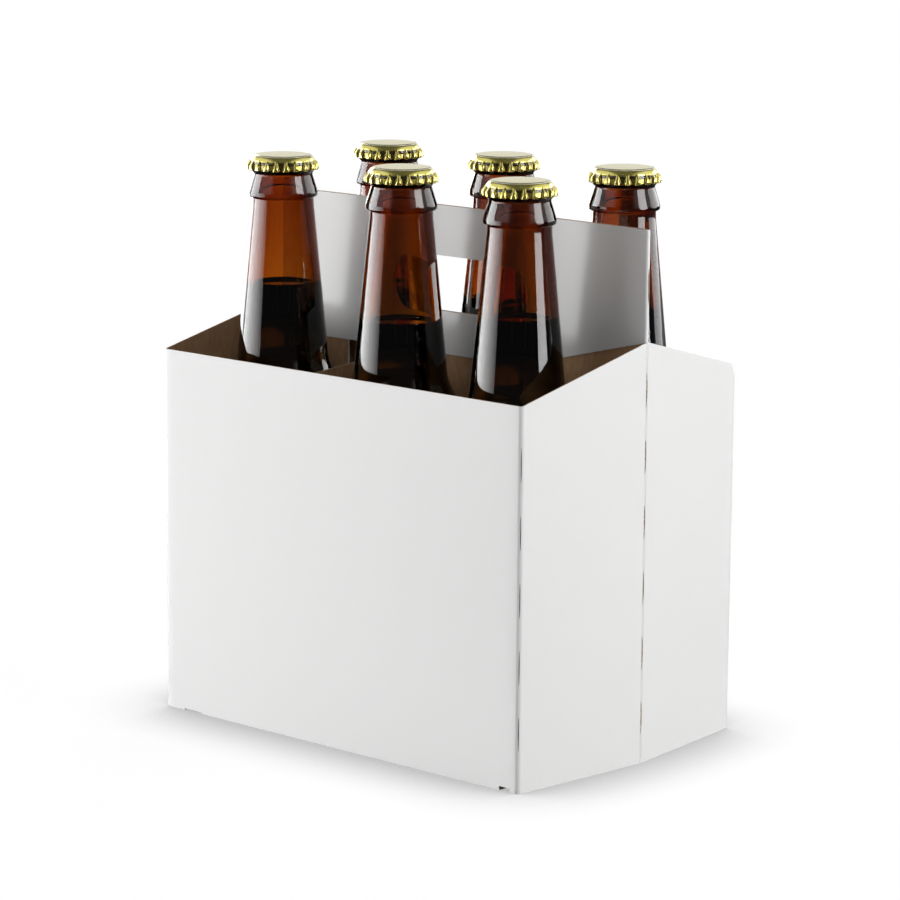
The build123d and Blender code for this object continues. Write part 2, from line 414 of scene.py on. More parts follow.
handle = {
    "corner": 4.0 * mm,
    "bow": 1.5 * mm,
    "plyEdge": 150.6 * mm,
    "holeLong": 76.0 * mm,
    "holeTall": 22.4 * mm,
    "holeMiddle": 179.2 * mm,
    "panelLow": 2.5 * mm,
    "endFlap": 35.8 * mm,
    "gapTop": 153.0 * mm,
    "outerThick": 0.49 * mm,   # a hair thin, to keep off the inner ply
    "panelStart": 0.2 * mm,
}
cells = {
    "long": 63.5 * mm,
    "shift": 0.7 * mm,
    "topInner": 148.0 * mm,
    "topOuter": 143.6 * mm,
    "strapLow": 40.0 * mm,
    "strapHigh": 132.0 * mm,
    "flap": 18.0 * mm,
    "flapInset": 4.0 * mm,
    "flapRoot": 0.9 * mm,
}
scores = {
    "long": 13.8 * mm,
    "pitch": 26.0 * mm,
    "cornerStart": 23.4 * mm,
    "middleStart": 18.6 * mm,
    "handleScore": 189.0 * mm,
    "cornerWide": 0.32 * mm,
    "middleWide": 0.85 * mm,
    "slotLeft": (10.0 * mm, 20.0 * mm, 0.6 * mm),   # foot slots: near end, far end, height
    "slotRight": (3.8 * mm, 9.2 * mm, 1.6 * mm),
}
handleMiddle = (dentX + rightPeakX) / 2
middleX = (leftCorner + rightCorner) / 2
dividerX = [middleX + cells["shift"] + side * cells["long"] / 2 for side in (-1, 1)]


def bowAt(x):
    share = (x - handleMiddle) / (rightPeakX - handleMiddle)
    return handle["bow"] * (1 - share * share)


class FoldPath:
    # a line seen from above, which a flat sheet is folded along; outwards is to its right
    def __init__(self, corners):
        self.points = roundedPath(corners, math.radians(12))
        self.runs = [0.0]
        for a, b in zip(self.points, self.points[1:]):
            self.runs.append(self.runs[-1] + math.hypot(b[0] - a[0], b[1] - a[1]))

    def at(self, s):
        s = min(max(s, 0.0), self.runs[-1])
        i = 0
        while i < len(self.runs) - 2 and self.runs[i + 1] < s:
            i += 1
        share = (s - self.runs[i]) / max(self.runs[i + 1] - self.runs[i], 1e-12)
        (ax, ay), (bx, by) = self.points[i], self.points[i + 1]
        along = Vector((bx - ax, by - ay)).normalized()
        spot = Vector((ax + (bx - ax) * share, ay + (by - ay) * share))
        return spot, Vector((along.y, -along.x))

    def nearest(self, x, y):
        # length along the path as far as its point nearest to (x, y)
        best = (1e9, 0.0)
        for i, (a, b) in enumerate(zip(self.points, self.points[1:])):
            run = Vector((b[0] - a[0], b[1] - a[1]))
            share = min(max(Vector((x - a[0], y - a[1])).dot(run) / run.length_squared, 0), 1)
            away = (Vector(a) + run * share - Vector((x, y))).length
            best = min(best, (away, self.runs[i] + share * run.length))
        return best[1]


def lens(s, z, wide, tall, steps=7):
    # outline of a slit that opens in its middle
    points = []
    for k in range(2 * steps):
        angle = math.pi * k / steps
        points.append((s + wide / 2 * math.sin(angle), z - tall / 2 * math.cos(angle)))
    return points


def rectangle(left, right, low, high):
    return [(left, low), (right, low), (right, high), (left, high)]


def cutAcross(work, place, direction):
    everything = work.verts[:] + work.edges[:] + work.faces[:]
    bmesh.ops.bisect_plane(work, geom=everything, plane_co=place, plane_no=direction)


def addBoardFinishes(mesh):
    for finish in (coated, kraft, edge):
        mesh.materials.append(finish)


def foldedSheet(name, outline, holes, path, frontSlot, backSlot, warp=None, zCuts=(), thick=None, sCuts=()):
    # a flat sheet with holes, cut into strips, bent along its path and given the board's thickness;
    # s runs along the path and z upwards
    work = bmesh.new()
    for loop in [outline] + holes:
        corners = [work.verts.new((s, 0, z)) for s, z in loop]
        for a, b in zip(corners, corners[1:] + corners[:1]):
            work.edges.new((a, b))
    bmesh.ops.triangle_fill(work, edges=work.edges[:], use_beauty=True, normal=(0, -1, 0))
    stops = {round(run, 7) for run in path.runs}
    lowS, highS = min(p[0] for p in outline), max(p[0] for p in outline)
    count = max(1, int((highS - lowS) / board["cutStep"]))
    stops |= {round(lowS + (highS - lowS) * k / count, 7) for k in range(1, count)}
    stops |= set(sCuts)
    for s in sorted(stops):
        if lowS + 1e-6 < s < highS - 1e-6:
            cutAcross(work, (s, 0, 0), (1, 0, 0))
    for z in zCuts:
        cutAcross(work, (0, 0, z), (0, 0, 1))
    bmesh.ops.remove_doubles(work, verts=work.verts[:], dist=1e-6)
    for face in work.faces:
        face.normal_update()
        if face.normal.y > 0:
            face.normal_flip()
        face.material_index = frontSlot
    for vertex in work.verts:
        s, z = vertex.co.x, vertex.co.z
        spot, outwards = path.at(s)
        if warp:
            spot = spot + outwards * warp(s, z)
        vertex.co = (spot.x, spot.y, z)
    mesh = meshFrom(work, name)
    addBoardFinishes(mesh)
    sheet = meshObject(name, mesh)
    solid = sheet.modifiers.new("thickness", "SOLIDIFY")
    solid.thickness = thick or board["thick"]
    solid.offset = -1
    solid.material_offset = backSlot - frontSlot
    solid.material_offset_rim = 2 - frontSlot
    return sheet


def plainMesh(piece):
    # the evaluated result of an object's modifiers, as a mesh of its own
    depsgraph = bpy.context.evaluated_depsgraph_get()
    mesh = bpy.data.meshes.new_from_object(piece.evaluated_get(depsgraph))
    bpy.data.objects.remove(piece)
    return mesh


def outerWalls():
    # one band: from the left end's middle, round the front, the right end and the rear
    bend = board["foldRadius"]
    tuckX, tuckY = dentX + board["tuckLong"], board["tuckHalf"]
    corners = [
        (tuckX, -tuckY, 0), (dentX, -tuckY, bend / 2),
        (leftCorner, -halfWidth, bend), (rightCorner, -halfWidth, board["cornerRadius"]),
        (rightPeakX, 0, bend),
        (rightCorner, halfWidth, bend), (leftCorner, halfWidth, bend),
        (dentX, tuckY, bend / 2), (tuckX, tuckY, 0),
    ]
    path = FoldPath(corners)
    marks = [path.nearest(x, y) for x, y, _ in corners]
    top, right, left = board["wallTop"], board["rightPeak"], board["leftPeak"]
    clip = board["clipWide"]
    clipTop = top + (right - top) * clip / halfWidth
    leftLift, rightLift = board["leftLift"], board["rightLift"]
    lower = [(marks[0], leftLift), (marks[2], leftLift), (marks[2], 0)]
    for a, b in ((2, 3), (5, 6)):
        for start, sign in ((marks[a], 1), (marks[b], -1)):
            near, far, tall = scores["slotLeft" if (a == 2) == (sign > 0) else "slotRight"]
            ends = sorted((start + sign * near, start + sign * far))
            lower += [(ends[0], 0), (ends[0], tall), (ends[1], tall), (ends[1], 0)]
        if a == 2:
            lower += [(marks[3], 0), (marks[3], rightLift), (marks[5], rightLift), (marks[5], 0)]
    lower += [(marks[6], 0), (marks[6], leftLift), (marks[8], leftLift)]
    upper = [
        (marks[8], left), (marks[7], left), (marks[6], top), (marks[5], top - board["clipTall"]),
        (marks[5] - clip, clipTop), (marks[4], right), (marks[3], top), (marks[2], top), (marks[1], left),
        (marks[0], left),
    ]
    holes = []
    for mark in (marks[2], marks[3], marks[5], marks[6]):
        for step in range(5):
            z = scores["cornerStart"] + step * scores["pitch"]
            holes.append(lens(mark, z, scores["cornerWide"], scores["long"]))
    for step in range(6):
        z = scores["middleStart"] + step * scores["pitch"]
        holes.append(lens(marks[4], z, scores["middleWide"], scores["long"]))

    spans = list(zip(marks[1:-2], marks[2:-1]))
    half = board["creaseWide"] / 2

    def warp(s, z):
        # each wall stands proud in its middle, and the right end's middle fold is pressed in
        dip = board["creaseDeep"] * max(0.0, 1 - abs(s - marks[4]) / half)
        for start, end in spans:
            if start < s < end:
                share = (s - start) / (end - start)
                upwards = math.sin(math.pi * min(z / top, 1))
                return board["warp"] * math.sin(math.pi * share) * upwards - dip
        return -dip

    zCuts = [board["rowStep"] * k for k in range(1, 10)]
    sCuts = [marks[4] - half, marks[4], marks[4] + half]
    return foldedSheet("outer_walls", lower + upper, holes, path, 0, 1, warp, zCuts, None, sCuts)


def roundHole(centreS):
    radius = handle["holeTall"] / 2
    reach = handle["holeLong"] / 2 - radius
    points = []
    for side, start in ((1, -90), (-1, 90)):
        for k in range(15):
            angle = math.radians(start + 180 * k / 14)
            points.append((centreS + side * reach + radius * math.cos(angle),
                           handle["holeMiddle"] + radius * math.sin(angle)))
    return points


def bowedLine(offset, startX, endX, steps=24):
    # a line along the handle at some distance from its middle surface
    xs = [startX + (endX - startX) * k / steps for k in range(steps + 1)]
    return [(x, bowAt(x) + offset, 0) for x in xs]


def cornerCurve(s, z, radius, quadrant):
    # points of a rounded outer corner of an outline
    turn = {"left": (90, 180), "right": (0, 90)}[quadrant]
    side = 1 if quadrant == "left" else -1
    centre = (s + side * radius, z - radius)
    points = []
    for k in range(9):
        angle = math.radians(turn[0] + (turn[1] - turn[0]) * k / 8)
        points.append((centre[0] + radius * math.cos(angle), centre[1] + radius * math.sin(angle)))
    return points


def handlePlies():
    # the outer ply: front, round the folded edge, and back along the rear
    off = 2 * board["thick"]
    front = bowedLine(-off, dentX, rightPeakX - off)
    rear = bowedLine(off, rightPeakX - off, dentX)
    tip = [(rightPeakX - off + off * math.cos(a), off * math.sin(a), 0)
           for a in [math.radians(-75 + 15 * k) for k in range(11)]]
    path = FoldPath(front + tip + rear)
    total = path.runs[-1]
    fold = total / 2
    panel = math.hypot(halfWidth, board["endBulge"])
    low, peak = handle["plyEdge"], board["rightPeak"]
    outline = [(0, low), (fold - panel, low), (fold, peak), (fold + panel, low), (total, low)]
    outline += cornerCurve(total, handleTop, handle["corner"], "right")
    outline += cornerCurve(0, handleTop, handle["corner"], "left")
    hole = path.nearest(handleMiddle, -off)
    holes = [roundHole(hole), roundHole(total - hole)]
    holes.append(lens(fold, scores["handleScore"], scores["middleWide"], scores["long"]))
    return foldedSheet("handle_plies", outline, holes, path, 0, 1, thick=handle["outerThick"])


def middlePanels(side):
    # the inner ply of the handle and the panel below it; side is -1 for the front row
    ply = board["thick"]
    startX, endX = dentX + handle["panelStart"], rightPeakX - ply
    xs = (startX, endX) if side < 0 else (endX, startX)
    path = FoldPath(bowedLine(side * ply, *xs))
    total = path.runs[-1]
    low = handle["panelLow"]

    def at(x):
        return path.nearest(x, side * ply + bowAt(x))

    flapEdge = at(dentX + handle["endFlap"])
    tall, strap = at(dividerX[0]), at(dividerX[1])
    gapTop = handle["gapTop"]
    corner = handle["corner"]
    if side < 0:
        outline = [(0, low), (flapEdge, low), (flapEdge, gapTop), (tall, gapTop), (tall, low), (total, low)]
        outline += [(total, handleTop - ply)]
        outline += cornerCurve(0, handleTop, corner, "left")
    else:
        outline = [(0, low), (tall, low), (tall, gapTop), (flapEdge, gapTop), (flapEdge, low), (total, low)]
        outline += cornerCurve(total, handleTop, corner, "right")
        outline += [(0, handleTop - ply)]
    near, far = sorted((tall, strap))
    window = rectangle(near + ply, far - ply, cells["strapLow"], cells["strapHigh"])
    holes = [roundHole(at(handleMiddle)), window]
    return foldedSheet(f"middle_panel_{side}", outline, holes, path, 1, 0)


def dividers(side):
    # the tall divider and the strap divider of one row, each with its glue flap on the side wall
    half = board["thick"] / 2
    wall = side * (halfWidth - board["thick"])
    sheets = []
    for i, x in enumerate(dividerX):
        inner = bowAt(x) + side * board["thick"]
        ends = sorted((inner, wall))
        path = FoldPath([(x + half, ends[0], 0), (x + half, ends[1], 0)])
        total = path.runs[-1]
        if i == 0:
            low = handle["panelLow"]
            heights = (cells["topInner"], cells["topOuter"])
            left, right = heights if side > 0 else heights[::-1]
            outline = [(0, low), (total, low), (total, right), (0, left)]
            root, flap = cells["flapRoot"], cells["flap"]
            span = (root, root + flap) if side > 0 else (total - root - flap, total - root)
            holes = [rectangle(*span, cells["strapLow"], cells["strapHigh"])]
            flapSpan = (low + cells["flapInset"], cells["topOuter"] - cells["flapInset"])
        else:
            outline = rectangle(0, total, cells["strapLow"], cells["strapHigh"])
            holes = []
            flapSpan = (cells["strapLow"] + cells["flapInset"], cells["strapHigh"] - cells["flapInset"])
        sheets.append(foldedSheet(f"divider_{side}_{i}", outline, holes, path, 1, 0))
        inside = wall - side * board["thick"]
        xs = [x - half, x + cells["flap"]]
        path = FoldPath([(flapX, inside, 0) for flapX in xs[::side]])
        outline = rectangle(0, path.runs[-1], *flapSpan)
        sheets.append(foldedSheet(f"glue_flap_{side}_{i}", outline, [], path, 1, 0))
    return sheets


base = {
    "inset": 1.0 * mm,         # the bottom stops this far short of the corner folds
    "sideGap": 0.1 * mm,
    "notch": 7.0 * mm,         # how deep it is cut away behind the foot slots
}


def bottomBoard():
    # two layers of board, white below and brown above, notched behind the foot slots
    edgeY = halfWidth - base["sideGap"]
    nearLeft, farLeft, _ = scores["slotLeft"]
    nearRight, farRight, _ = scores["slotRight"]
    rear = [(leftCorner + base["inset"], edgeY)]
    for start, end in ((leftCorner + nearLeft, leftCorner + farLeft),
                       (rightCorner - farRight, rightCorner - nearRight)):
        rear += [(start, edgeY), (start, edgeY - base["notch"]), (end, edgeY - base["notch"]), (end, edgeY)]
    rear.append((rightCorner - base["inset"], edgeY))
    ring = [(x, -y) for x, y in rear] + rear[::-1]
    work = bmesh.new()
    levels = []
    for z, slotIndex in ((0.0, 0), (2 * board["thick"], 1)):
        levels.append([work.verts.new((x, y, z)) for x, y in ring])
        face = work.faces.new(levels[-1] if slotIndex else levels[-1][::-1])
        face.material_index = slotIndex
    for k in range(len(ring)):
        after = (k + 1) % len(ring)
        face = work.faces.new([levels[0][k], levels[0][after], levels[1][after], levels[1][k]])
        face.material_index = 2
    bmesh.ops.recalc_face_normals(work, faces=work.faces)
    mesh = meshFrom(work, "bottom")
    addBoardFinishes(mesh)
    return meshObject("bottom", mesh)


def buildCarrier():
    sheets = [outerWalls(), handlePlies(), middlePanels(-1), middlePanels(1), bottomBoard()]
    sheets += dividers(-1) + dividers(1)
    joined = bmesh.new()
    for sheet in sheets:
        joined.from_mesh(plainMesh(sheet))
    mesh = meshFrom(joined, "carrier_board")
    addBoardFinishes(mesh)
    mesh.shade_smooth()
    mesh.set_sharp_from_angle(angle=board["sharpest"])
    piece = meshObject("carrier_board", mesh)
    finished(piece, "board", "carrier")
    print("carrier:", len(mesh.polygons), "faces")


# Bottles and what is in them, each on its own node's axis

bottle = {
    "turns": 112,
    "wall": 2.2 * mm,
    "floor": 5.0 * mm,
    "punt": 1.5 * mm,
    "footRing": 24.0 * mm,
    "heel": 4.0 * mm,
    "shoulderTop": 127.5 * mm,
    "shoulderBend": 26.0 * mm,
    "neckLow": (19.1 * mm, 140.8 * mm),
    "neckBend": 20.0 * mm,
    "neckHighRadius": 12.6 * mm,
    "neckHighDrop": 19.3 * mm,
    "ringRadius": 14.15 * mm,
    "ringDrop": 15.0 * mm,
    "ringEdge": 0.7 * mm,
    "throatRadius": 11.9 * mm,
    "throatDrop": 6.7 * mm,
    "beadRadius": 13.2 * mm,
    "beadDrop": 5.1 * mm,
    "bore": 8.6 * mm,
}


def innerGlass(height, gap):
    # the space inside the glass, from its floor upwards; corners are (radius, height, bend)
    inset = bottle["wall"] + gap
    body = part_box("bottle_front_left")
    bodyRadius = (body[1].x - body[0].x) / 2
    neckX, neckZ = bottle["neckLow"]
    return [
        (0, bottle["floor"] + 0.8 * mm + gap, 0),
        (14 * mm, bottle["floor"] + gap, 6 * mm),
        (bodyRadius - inset, bottle["floor"] + gap, bottle["heel"]),
        (bodyRadius - inset, bottle["shoulderTop"], bottle["shoulderBend"] - bottle["wall"]),
        (neckX - inset, neckZ, bottle["neckBend"] + bottle["wall"]),
        (bottle["bore"] - gap, height - bottle["neckHighDrop"], 20 * mm),
    ]


def buildBottle(place):
    low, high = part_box(f"bottle_{place}")
    spot = ((low.x + high.x) / 2, (low.y + high.y) / 2, low.z)
    height = high.z - low.z
    radius = (high.x - low.x) / 2
    ringZ = height - bottle["ringDrop"]
    edgeHigh = bottle["ringEdge"]
    outside = [
        (0, bottle["punt"] + 1.0 * mm, 0),
        (bottle["footRing"] - 4 * mm, bottle["punt"], 6 * mm),
        (bottle["footRing"], 0, 1.5 * mm),
        (radius, 0, bottle["heel"]),
        (radius, bottle["shoulderTop"], bottle["shoulderBend"]),
        (*bottle["neckLow"], bottle["neckBend"]),
        (bottle["neckHighRadius"], height - bottle["neckHighDrop"], 12 * mm),
        (bottle["neckHighRadius"] - 0.05 * mm, ringZ - 1.9 * edgeHigh, 0.6 * mm),
        (bottle["ringRadius"], ringZ - 1.2 * edgeHigh, 0.8 * mm),
        (bottle["ringRadius"], ringZ + 1.4 * edgeHigh, 1.6 * mm),
        (bottle["throatRadius"], height - bottle["throatDrop"], 1.2 * mm),
        (bottle["beadRadius"], height - bottle["beadDrop"], 0.8 * mm),
        (bottle["beadRadius"], height, 2.6 * mm),
        (bottle["bore"], height, 0.7 * mm),
    ]
    inside = innerGlass(height, 0)
    outline = roundedPath(outside + inside[::-1])
    piece = lathe(f"glass_{place}", outline, bottle["turns"], spot)
    piece.data.materials.append(glass)
    finished(piece, "amber_glass", f"bottle_{place}")
    return spot, height


beerShape = {
    "gap": -0.03 * mm,         # the drink touches the glass, a hair inside it
    "meniscus": 1.1 * mm,
    "climb": 1.5 * mm,
    "turns": 112,
    "lift": {                  # how much higher these drinks stand than their nodes
        "front_left": 2.6 * mm, "front_middle": 3.6 * mm, "front_right": 2.4 * mm,
    },
}


def buildBeer(place, spot, height):
    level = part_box(f"beer_{place}")[1].z - spot[2] + beerShape["lift"].get(place, 0.0)
    corners = innerGlass(height, beerShape["gap"])
    neckX, neckZ = corners[4][:2]
    topX, topZ = corners[5][:2]
    rim = level + beerShape["meniscus"]
    rimX = neckX + (topX - neckX) * (rim - neckZ) / (topZ - neckZ)
    outline = roundedPath(corners[:5] + [(rimX, rim, 0)])
    for k in range(1, 9):
        share = k / 8
        climbed = beerShape["meniscus"] * (1 - share) ** 2
        outline.append((rimX - beerShape["climb"] * share, level + climbed))
    outline += [(rimX / 2, level), (0, level)]
    piece = lathe(f"drink_{place}", outline, beerShape["turns"], spot)
    piece.data.materials.append(beer)
    finished(piece, "beer", f"beer_{place}")


# Crown caps: one flute in mesh code, repeated round the cap by a node tree

cap = {
    "flutes": 21,
    "sheet": 0.32 * mm,
    "high": 6.0 * mm,
    "dome": 0.12 * mm,
    "flat": 10.2 * mm,         # radius of the flat top
    "flatShare": 0.35,         # share of the rings on it
    "skirtShare": 0.55,        # share of the rings above the flutes
    "shoulder": 12.8 * mm,     # where the flutes begin
    "shoulderDrop": 1.8 * mm,
    "shoulderTurn": math.radians(62),
    "valley": 0.72 * mm,       # how far the valleys flare out below the shoulder
    "ridge": 1.86 * mm,        # and the ridges
    "ridgeTop": 0.13,          # half width of a ridge at its top and its foot, in half pitches
    "ridgeFoot": 0.56,
    "ridgeSoft": 0.11,
    "flareEnd": 0.72,          # the ridges are widest this far down, and then turn in a little
    "turnIn": 0.09,
    "turnInStart": 0.75,
    "flarePower": 0.8,
    "foot": 0.22 * mm,         # the ridges end this much lower than the valleys
    "stepsRound": 16,
    "weld": 0.004 * mm,
}
capTurns = {                   # degrees, as each was crimped on
    "front_left": 3, "front_middle": 8, "front_right": 1,
    "rear_left": 11, "rear_middle": 6, "rear_right": 14,
}


def smooth(low, high, value):
    share = min(max((value - low) / (high - low), 0.0), 1.0)
    return share * share * (3 - 2 * share)


def capPoint(share, angle):
    # a point of the cap's outside, by its share of the way from the centre to the edge,
    # and how deep it lies in a valley, which is the share of painted shade in its colour
    valley = 0.0
    flatEnd, skirtStart = cap["flatShare"], cap["skirtShare"]
    if share < flatEnd:
        radius = cap["flat"] * share / flatEnd
        drop = cap["dome"] * (share / flatEnd) ** 2
    elif share < skirtStart:
        turn = (share - flatEnd) / (skirtStart - flatEnd) * cap["shoulderTurn"]
        whole = cap["shoulderTurn"]
        radius = cap["flat"] + (cap["shoulder"] - cap["flat"]) * math.sin(turn) / math.sin(whole)
        drop = cap["dome"] + cap["shoulderDrop"] * (1 - math.cos(turn)) / (1 - math.cos(whole))
    else:
        down = (share - skirtStart) / (1 - skirtStart)
        pitch = 2 * math.pi / cap["flutes"]
        fromRidge = abs((angle / pitch) % 1.0 - 0.5) * 2
        reach = cap["ridgeTop"] + (cap["ridgeFoot"] - cap["ridgeTop"]) * down
        ridge = 1 - smooth(reach - cap["ridgeSoft"], reach + cap["ridgeSoft"], fromRidge)
        flare = math.sin(min(down / cap["flareEnd"], 1.0) * math.pi / 2)
        flare -= cap["turnIn"] * smooth(cap["turnInStart"], 1.0, down)
        widened = cap["valley"] * down ** cap["flarePower"]
        radius = cap["shoulder"] + widened + ridge * (cap["ridge"] * flare - widened)
        lowest = cap["high"] - (1 - ridge) * cap["foot"]
        start = cap["dome"] + cap["shoulderDrop"]
        drop = start + (lowest - start) * down
        # painted shade: the skirt's valleys are darkened in colour, fading in just below the shoulder
        valley = (1 - ridge) * smooth(0.0, 0.25, down)
    return Vector((radius * math.cos(angle), radius * math.sin(angle), -drop)), valley


def fluteMesh():
    # one flute with its slice of the top, outside and inside
    flatEnd, skirtStart = cap["flatShare"], cap["skirtShare"]
    shares = [0, 0.12, 0.24, 0.33]
    shares += [flatEnd + (skirtStart - flatEnd) * k / 8 for k in range(9)]
    shares += [0.57 + 0.43 * k / 14 for k in range(15)]
    width = 2 * math.pi / cap["flutes"]
    around = [width * k / cap["stepsRound"] for k in range(cap["stepsRound"] + 1)]
    outside = [[capPoint(share, angle) for angle in around] for share in shares]
    rows = [[(*place, valleyShade) for place, valleyShade in row] for row in outside]
    for i in range(len(shares) - 1, -1, -1):
        row = []
        for place, valleyShade in outside[i]:
            radius = math.hypot(place.x, place.y)
            lean = smooth(flatEnd, 0.6, shares[i])
            inner = max(radius - cap["sheet"] * lean, 0.0) / max(radius, 1e-9)
            z = max(place.z - cap["sheet"] * (1 - lean), -cap["high"])
            row.append((place.x * inner, place.y * inner, z, 1.0))
        rows.append(row)
    work = bmesh.new()
    # each point carries its share of painted shade for the valleys; the inside takes it in full
    deep = work.verts.layers.float.new("valley")
    made = []
    for row in rows:
        made.append([])
        for x, y, z, valleyShade in row:
            vertex = work.verts.new((x, y, z))
            vertex[deep] = valleyShade
            made[-1].append(vertex)
    for a, b in zip(made, made[1:]):
        for k in range(cap["stepsRound"]):
            work.faces.new([a[k], b[k], b[k + 1], a[k + 1]])
    bmesh.ops.remove_doubles(work, verts=work.verts[:], dist=1e-7)
    bmesh.ops.dissolve_degenerate(work, edges=work.edges[:], dist=1e-7)
    return meshFrom(work, "flute")


def capTree():
    # repeats the flute round the Z axis, welds the joins and gives the metal
    tree = bpy.data.node_groups.new("crimpedSkirt", "GeometryNodeTree")
    face = tree.interface
    face.new_socket("Flute", in_out="INPUT", socket_type="NodeSocketGeometry")
    face.new_socket("Flute Count", in_out="INPUT", socket_type="NodeSocketInt")
    face.new_socket("Weld Distance", in_out="INPUT", socket_type="NodeSocketFloat")
    face.new_socket("Place", in_out="INPUT", socket_type="NodeSocketVector")
    face.new_socket("Cap", in_out="OUTPUT", socket_type="NodeSocketGeometry")
    nodes, links = tree.nodes, tree.links
    start, end = nodes.new("NodeGroupInput"), nodes.new("NodeGroupOutput")
    ring = nodes.new("GeometryNodePoints")
    links.new(start.outputs["Flute Count"], ring.inputs["Count"])
    index = nodes.new("GeometryNodeInputIndex")
    turn = mathOf(tree, "DIVIDE", index.outputs[0], start.outputs["Flute Count"])
    about = nodes.new("ShaderNodeCombineXYZ")
    links.new(mathOf(tree, "MULTIPLY", turn, 2 * math.pi), about.inputs["Z"])
    spread = nodes.new("GeometryNodeInstanceOnPoints")
    links.new(ring.outputs[0], spread.inputs["Points"])
    links.new(start.outputs["Flute"], spread.inputs["Instance"])
    links.new(about.outputs[0], spread.inputs["Rotation"])
    real = nodes.new("GeometryNodeRealizeInstances")
    links.new(spread.outputs[0], real.inputs[0])
    weld = nodes.new("GeometryNodeMergeByDistance")
    links.new(real.outputs[0], weld.inputs["Geometry"])
    links.new(start.outputs["Weld Distance"], weld.inputs["Distance"])
    move = nodes.new("GeometryNodeSetPosition")
    links.new(weld.outputs[0], move.inputs["Geometry"])
    links.new(start.outputs["Place"], move.inputs["Offset"])
    soften = nodes.new("GeometryNodeSetShadeSmooth")
    links.new(move.outputs[0], soften.inputs["Geometry"])
    paint = nodes.new("GeometryNodeSetMaterial")
    paint.inputs["Material"].default_value = gold
    links.new(soften.outputs[0], paint.inputs["Geometry"])
    links.new(paint.outputs[0], end.inputs[0])
    return tree


def buildCap(place, tree, flute, turned):
    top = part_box(f"crown_cap_{place}")[1].z
    low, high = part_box(f"cap_liner_{place}")
    middle = (low + high) / 2
    piece = meshObject(f"cap_{place}", flute.copy())
    piece.data.transform(Matrix.Rotation(turned, 4, "Z"))
    array = piece.modifiers.new("crimp", "NODES")
    array.node_group = tree
    wanted = {
        "Flute Count": cap["flutes"],
        "Weld Distance": cap["weld"],
        "Place": (middle.x, middle.y, top),
    }
    for item in tree.interface.items_tree:
        if item.name in wanted and item.in_out == "INPUT":
            array[item.identifier] = wanted[item.name]
    mesh = plainMesh(piece)
    work = bmesh.new()
    work.from_mesh(mesh)
    bmesh.ops.recalc_face_normals(work, faces=work.faces)
    work.to_mesh(mesh)
    work.free()
    piece = meshObject(f"cap_{place}", mesh)
    finished(piece, "gold_cap", f"crown_cap_{place}")


def buildBottles():
    tree, flute = capTree(), fluteMesh()
    for place in places:
        spot, height = buildBottle(place)
        buildBeer(place, spot, height)
        buildCap(place, tree, flute, math.radians(capTurns[place]))
        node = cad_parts[f"cap_liner_{place}"]
        node.data.materials.clear()
        node.data.materials.append(liner)
    print("bottles:", len(places))


# Studio

studio = {
    "focus": (102.3 * mm, -117.3 * mm, 142.2 * mm),
    "azimuth": math.radians(41.58),
    "elevation": math.radians(11.02),
    "roll": math.radians(0.41),
    "distance": 1300 * mm,
    "lens": 144.4,
    "lampAim": 0.15,           # height that the lamps point at
    "worldFill": 0.20,
    "roomGlow": 0.06,
    "wallGlow": 0.85,
    "behindGlass": 1.05,
    "wallEdge": (-0.05, 0.35),
    "wallTop": (0.45, 0.22),
    "wallFoot": (-0.14, -0.02),
    "sideEdge": (0.40, 0.75),
    "sideFoot": (0.08, 0.25),
    "sideGain": 1.4,           # brings the side screens to their full strength sooner
}
floorLook = {
    "half": 12.0,
    "matt": 0.52,              # its grey as matt surfaces are lit by it
    "shadowed": 0.12,          # the part of its grey that takes the lamps' shadows
    "glow": 0.92,
    # shade is the glow left under the painted contact shadow
    "shade": 0.47,
    "shadeReach": 0.043,
    "touch": (0.5, 0.95),      # open share of the sky, from full shade to none
    "fade": (0.14, 0.34),      # beyond the second distance the floor is white
    # dimBehind is a painted shade seen through the glass, in place of the shade behind the right-hand
    # bottles
    "dimBehind": (0.03, 0.10, 0.12),   # glass sees a darker room from here to here, and how dark
}


def directionOf(azimuth, elevation):
    # azimuths run from the front (-Y) towards +X
    level = math.cos(elevation)
    return Vector((math.sin(azimuth) * level, -math.cos(azimuth) * level, math.sin(elevation)))


def buildCamera():
    data = bpy.data.cameras.new("camera")
    data.lens = studio["lens"]
    data.sensor_width = 36
    data.clip_end = 50
    az, roll = studio["azimuth"], studio["roll"]
    back = directionOf(az, studio["elevation"])
    right = Vector((math.cos(az), math.sin(az), 0))
    up = back.cross(right)
    across = right * math.cos(roll) + up * math.sin(roll)
    upright = up * math.cos(roll) - right * math.sin(roll)
    turned = Matrix((across, upright, back)).transposed().to_4x4()
    camera = bpy.data.objects.new("camera", data)
    camera.matrix_world = Matrix.Translation(Vector(studio["focus"]) + back * studio["distance"]) @ turned
    bpy.context.scene.collection.objects.link(camera)
    bpy.context.scene.camera = camera


def onRays(tree, *kinds):
    # 1 on rays of any of these kinds
    rays = tree.nodes.new("ShaderNodeLightPath")
    total = rays.outputs[kinds[0]]
    for kind in kinds[1:]:
        total = mathOf(tree, "MAXIMUM", total, rays.outputs[kind])
    return total


def shareTowards(tree, place, direction):
    along = tree.nodes.new("ShaderNodeVectorMath")
    along.operation = "DOT_PRODUCT"
    along.inputs[1].default_value = direction
    tree.links.new(place, along.inputs[0])
    return along.outputs["Value"]


def mixOf(tree, share, first, second):
    mix = tree.nodes.new("ShaderNodeMixShader")
    for socket, source in zip(mix.inputs, (share, first, second)):
        tree.links.new(source, socket)
    return mix.outputs[0]


def lit(tree, kind, strength):
    # kind is Emission, or Background for the world
    light = tree.nodes.new(f"ShaderNode{kind}")
    dress(tree, light, {"Color": (1, 1, 1, 1), "Strength": strength})
    return light.outputs[0]


def mattOf(tree, grey):
    matt = tree.nodes.new("ShaderNodeBsdfDiffuse")
    matt.inputs["Color"].default_value = (grey, grey, grey, 1)
    return matt.outputs[0]


